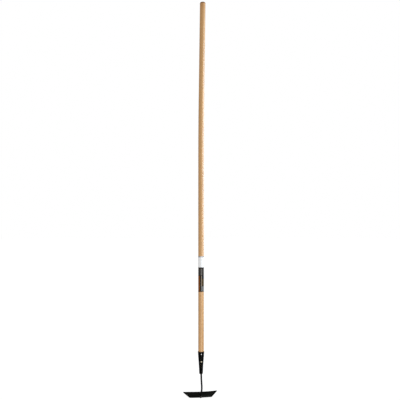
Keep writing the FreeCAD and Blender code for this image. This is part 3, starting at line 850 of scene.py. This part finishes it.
def make_neck(axes):
    """The bar runs from inside the socket through the swan bend, and its tang lies drawn out on the blade."""
    drawn_from = 7 * MM    # how far behind the heel the tang starts to be drawn out
    nose = 4.5 * MM    # length of the tang's rounded end
    soft = 0.35 * MM    # softness of the tang's hammered top edges
    broad_marks, fine_marks = 0.10 * MM, 0.04 * MM    # heights of the forging marks
    count = 48

    start, radius = section("neck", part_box("neck")[1].z - 0.2 * MM)
    line = follow_bar("neck", start, -UP, radius, axes.y)
    heel = axes.local(line[-1])
    ends = [axes.local(vertex.co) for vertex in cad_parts["neck"].data.vertices]
    tip = max(point.y for point in ends if point.z < heel.z + radius)
    line.append(axes.world(heel.x, tip - 1 * MM, heel.z))
    line = smoothed(resampled(line, 0.45 * MM), 12)
    taper_start = heel.y + drawn_from
    tip_height = axes.thickness + 1.3 * MM
    crest = heel.z + radius
    rings = []
    for point, (direction, side, up) in zip(line, carried_sides(line, axes.x)):
        place = axes.local(point)
        on_tang = direction.dot(axes.y) > 0.9 and place.y > taper_start
        drawn = (place.y - taper_start) / (tip - taper_start) if on_tang else 0.0
        ceiling = crest + (tip_height - crest) * drawn
        spread = 1 + 0.22 * drawn
        left = tip - place.y
        if on_tang and left < nose:
            spread *= math.sqrt(max(1 - ((nose - left) / nose) ** 2, 0.02))
        ring = []
        for turn in turns(count):
            outwards = side * math.cos(turn) + up * math.sin(turn)
            mark = broad_marks * grain(point + side * math.cos(turn) * 4 * MM, 130, 9.0)
            mark += fine_marks * grain(point + outwards * radius, 420, 4.0)
            reach = radius - fine_marks + mark
            spot = point + side * math.cos(turn) * reach * spread + up * math.sin(turn) * reach
            if on_tang:
                over = (axes.local(spot).z - ceiling) / soft
                lowered = soft * math.log1p(math.exp(min(over, 40)))
                spot = spot - axes.z * lowered * min(1.0, 6 * drawn)
            ring.append(spot)
        rings.append(ring)
    neck = loft("swan_neck", rings)
    settle(neck, "neck", "black_steel", neck_paint)


make_neck(axes)


# -------- welds
def bead_rings(line, side, radius, pitch, seed):
    """Rings of a weld bead: scales that overlap one pitch apart, an uneven height and rounded ends."""
    count = 28
    ripple_height, uneven_height = 0.16 * MM, 0.16 * MM
    lengths = lengths_along(line)
    whole = lengths[-1]
    rings = []
    for point, length, (_, across, up) in zip(line, lengths, carried_sides(line, side)):
        end = min(length, whole - length)
        closing = math.sqrt(max(1 - max(1 - end / (0.8 * radius), 0.0) ** 2, 0.0004))
        ring = []
        for turn in turns(count):
            lean = 0.5 * radius * (1 - math.cos(2 * turn))
            phase = (length + lean) / pitch + 0.35 * grain((length, 0, 0), 400, seed)
            scale = phase % 1.0
            ripple = ripple_height * (1 - scale) ** 1.5 - 0.05 * MM
            uneven = uneven_height * grain(point, 260, seed)
            reach = (radius * 0.96 + ripple + uneven) * closing
            ring.append(point + across * math.cos(turn) * reach + up * math.sin(turn) * reach)
        rings.append(ring)
    return rings


def fused(item, voxel, rounds=2):
    """Joins overlapping lumps into one skin and evens it out."""
    remesh = item.modifiers.new("one_skin", "REMESH")
    remesh.mode = "VOXEL"
    remesh.voxel_size = voxel
    remesh.use_smooth_shade = True
    smooth = item.modifiers.new("melted", "SMOOTH")
    smooth.factor = 0.5
    smooth.iterations = rounds


def join_meshes(name, items):
    """One object from several, whose own objects are removed."""
    joined = bmesh.new()
    for item in items:
        joined.from_mesh(item.data)
        bpy.data.objects.remove(item)
    mesh = bpy.data.meshes.new(name)
    joined.to_mesh(mesh)
    joined.free()
    mesh.shade_smooth()
    return new_object(name, mesh)


def make_blade_weld(axes):
    """One bead up one side of the tang, round the front of the heel and back up the other side."""
    ends = [axes.local(vertex.co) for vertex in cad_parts["blade_weld"].data.vertices]
    radius, pitch, pool_pitch = 3.0 * MM, 1.9 * MM, 1.7 * MM
    turn = (max(point.x for point in ends) - min(point.x for point in ends)) / 2 - radius
    leg_end = max(point.y for point in ends)
    front = min(point.y for point in ends) + radius
    low = min(point.z for point in ends) + radius
    high = max(point.z for point in ends) - radius
    corner = front + turn
    steps = 40
    line = [(-turn, y, high) for y in np.linspace(leg_end - 0.6 * radius, corner, 30)]
    for step in range(1, steps):
        angle = math.pi * step / steps
        sine = math.sin(angle)
        line.append((-turn * math.cos(angle), corner - turn * sine, high + (low - high) * sine))
    line += [(turn, y, high) for y in np.linspace(corner, leg_end - radius, 30)]
    line = resampled([axes.world(*point) for point in line], 0.22 * MM)
    bead = loft("bead", bead_rings(line, axes.x, radius, pitch, 3.0))

    # the pool in front of the heel, which the bead goes round
    pool_line = resampled([axes.world(-0.55 * turn, corner - 0.25 * turn, low + 1.5 * MM),
                           axes.world(0, corner - 0.5 * turn, low + 1.9 * MM),
                           axes.world(0.6 * turn, corner - 0.15 * turn, low + 1.8 * MM)], 0.2 * MM)
    pool = loft("pool", bead_rings(pool_line, axes.z, radius * 1.02, pool_pitch, 5.0))
    weld = join_meshes("heel_weld", [bead, pool])
    fused(weld, 0.2 * MM)
    settle(weld, "blade_weld", "weld", weld_metal)


def make_socket_weld():
    """The plug weld that closes the socket's mouth and runs down the left side of the bar."""
    pitch, lump_height, ripple_height = 1.7 * MM, 0.28 * MM, 0.22 * MM
    low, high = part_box("socket_weld")
    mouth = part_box("socket")[0].z
    neck_centre, neck_radius = section("neck", low.z)
    heights = list(np.linspace(low.z + 0.1 * MM, mouth + 1.5 * MM, 40))
    heights += list(np.linspace(mouth + 2 * MM, high.z, 8))
    count = 64
    rings = []
    for height in heights:
        inside = min(max(height, low.z + 0.2 * MM), high.z - 0.2 * MM)
        reach = -min(point.x for point in cut_points("socket_weld", Vector((0, 0, inside)), UP))
        ring = []
        for turn in turns(count):
            direction = Vector((math.cos(turn), math.sin(turn), 0))
            phase = (height - low.z) / pitch + 0.25 * math.cos(turn)
            scale = (phase + 0.3 * grain(direction * 0.01, 90, 6.0)) % 1.0
            lump = lump_height * grain((direction.x * 0.004, direction.y * 0.004, height), 300, 8.0)
            ripple = ripple_height * (1 - scale) ** 1.5 - 0.1 * MM
            spot = direction * (reach + (lump + ripple) * (height < mouth + 1 * MM))
            if height < mouth + 0.4 * MM:
                # below the mouth the weld covers the bar's left side and runs out on its right
                along_bar = Vector((neck_centre.x, 0, 0)) + direction * neck_radius * 0.9
                share = min(max((direction.x + 0.45) / 0.9, 0.0), 1.0)
                spot = spot.lerp(along_bar, share * share * (3 - 2 * share))
            spot.z = height
            ring.append(spot)
        rings.append(ring)
    weld = loft("plug_weld", rings)
    fused(weld, 0.2 * MM, rounds=3)
    settle(weld, "socket_weld", "weld", weld_metal)


make_blade_weld(axes)
make_socket_weld()


# -------- wrap label
def make_wrap(name, node, slot, material, lift):
    """A thin film wrapped round the shaft, its free edge lying on its own start at the back."""
    low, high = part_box(node)
    film = (high.x - low.x) / 2 - shaft_radius
    inner = shaft_radius - 0.02 * MM
    inset = 0.1 * MM    # how far the film's two ends lie inside the CAD's
    creasing, curling, curl_band = 0.035 * MM, 0.08 * MM, 1.2 * MM
    columns, rows = 150, 44
    overlap = math.radians(24)
    begin = math.radians(180) - overlap / 2
    skins = [[], []]
    for row in range(rows + 1):
        height = low.z + inset + (high.z - low.z - 2 * inset) * row / rows
        from_end = min(height - low.z, high.z - height)
        for column in range(columns + 1):
            turn = begin + (2 * math.pi + overlap) * column / columns
            direction = Vector((math.sin(turn), -math.cos(turn), 0))
            past = turn - (begin + 2 * math.pi - math.radians(6))
            step = min(max(past / math.radians(8), 0.0), 1.0)
            step = film * step * step * (3 - 2 * step)
            free = math.exp(-((columns - column) / 2.5)) * lift * (0.6 + 0.5 * grain((0, 0, height), 45, 2.0))
            crease = creasing * grain((direction.x * 0.01, direction.y * 0.01, height), 160, 6.0)
            curl = 0.5 + grain((direction.x * 0.02, direction.y * 0.02, 0), 90)
            edge = curling * math.exp(-from_end / curl_band) * curl
            radius = inner + step + free + max(crease + edge, -0.01 * MM)
            for skin, reach in zip(skins, (radius + film, radius)):
                skin.append(direction * reach + UP * height)
    settle(sheet(name, *skins, rows, columns), node, slot, material)


make_wrap("label_wrap", "label_band", "label_print", label_print, 0.25 * MM)
make_wrap("label_top", "label_header", "label_white", label_white, 0.2 * MM)


# -------- studio
def make_floor():
    """A pale floor that runs out into the white backdrop."""
    s = Shader("pale_floor", Roughness=0.9, Specular_IOR_Level=0.0)
    s.set("Base Color", (0.16, 0.16, 0.16, 1.0))
    s.set("Emission Color", (1.0, 1.0, 1.0, 1.0))
    s.set("Emission Strength", 0.94)    # brings the floor level with the backdrop
    size = 12.0
    corners = [(-size, -size, 0), (size, -size, 0), (size, size, 0), (-size, size, 0)]
    floor = make_object("floor", corners, [(0, 1, 2, 3)], smooth=False)
    floor.data.materials.append(s.material)
    floor.visible_glossy = False


def make_backdrop():
    """White to the camera and soft light from all round for matt surfaces.

    What reflections see is a white wall on the camera's side, which fades to a dark studio behind and above.
    """
    world = bpy.data.worlds.new("studio")
    world.use_nodes = True
    studio = Nodes(world.node_tree)
    studio.tree.nodes.clear()
    paths = studio.add("ShaderNodeLightPath").outputs

    def background(strength):
        inputs = {"Color": (1.0, 1.0, 1.0, 1.0), "Strength": strength}
        return studio.add("ShaderNodeBackground", inputs).outputs[0]

    def chosen(test, first, second):
        return studio.add("ShaderNodeMixShader", {0: paths[test], 1: second, 2: first}).outputs[0]

    direction = studio.add("ShaderNodeTexCoord").outputs["Generated"]
    towards = (0.0, -1.0, -0.35)    # to the camera's side and a little down
    facing = studio.add("ShaderNodeVectorMath", {0: direction, 1: towards}, operation="DOT_PRODUCT")
    wall = studio.ranged(facing.outputs["Value"], -0.5, 0.75, DARK_STUDIO, FRONT_WALL, smooth=True)
    ambient = chosen("Is Glossy Ray", background(wall), background(AMBIENT))
    seen = chosen("Is Camera Ray", background(1.0), ambient)
    studio.add("ShaderNodeOutputWorld", {"Surface": seen})
    bpy.context.scene.world = world


def soft_box(name, place, target, width, height, power, colour=(1.0, 1.0, 1.0)):
    """A rectangular light that faces a target; power is in watts."""
    light = bpy.data.lights.new(name, "AREA")
    light.shape = "RECTANGLE"
    light.size = width
    light.size_y = height
    light.energy = power
    light.color = colour
    item = new_object(name, light)
    item.location = place
    item.rotation_euler = (Vector(target) - Vector(place)).to_track_quat("-Z", "Y").to_euler()
    item.visible_camera = False


def make_camera():
    """Level camera straight in front of the hoe, at half its height."""
    distance = 3.0
    view_height = 1.84    # metres of the hoe's plane that fill the picture
    middle, eye_height = -0.0048, 0.9034
    data = bpy.data.cameras.new("camera")
    data.sensor_width = 36
    data.lens = data.sensor_width * distance / view_height
    camera = new_object("camera", data)
    camera.location = (middle, -distance, eye_height)
    camera.rotation_euler = (math.radians(90), 0, 0)
    bpy.context.scene.camera = camera


AMBIENT = 0.5    # light from all round on matt surfaces
DARK_STUDIO = 0.04    # what reflections see above and behind
FRONT_WALL = 0.22    # what reflections see on the camera's side

make_floor()
make_backdrop()
soft_box("key", (0.98, -0.10, 1.29), (0, 0, 1.29), 0.45, 1.35, 11.2, (0.84, 1.03, 1.26))
soft_box("rim", (0.72, 0.55, 1.15), (0, 0, 1.1), 0.3, 1.1, 4)
soft_box("front_low", (0.40, -1.1, 0.30), (0, 0, 0.36), 0.22, 0.45, 3.0)
soft_box("low_strip", (0.12, -0.33, 0.06), (0, 0, 0.16), 0.02, 0.11, 0.09)
make_camera()
bpy.context.scene.view_settings.view_transform = "Standard"
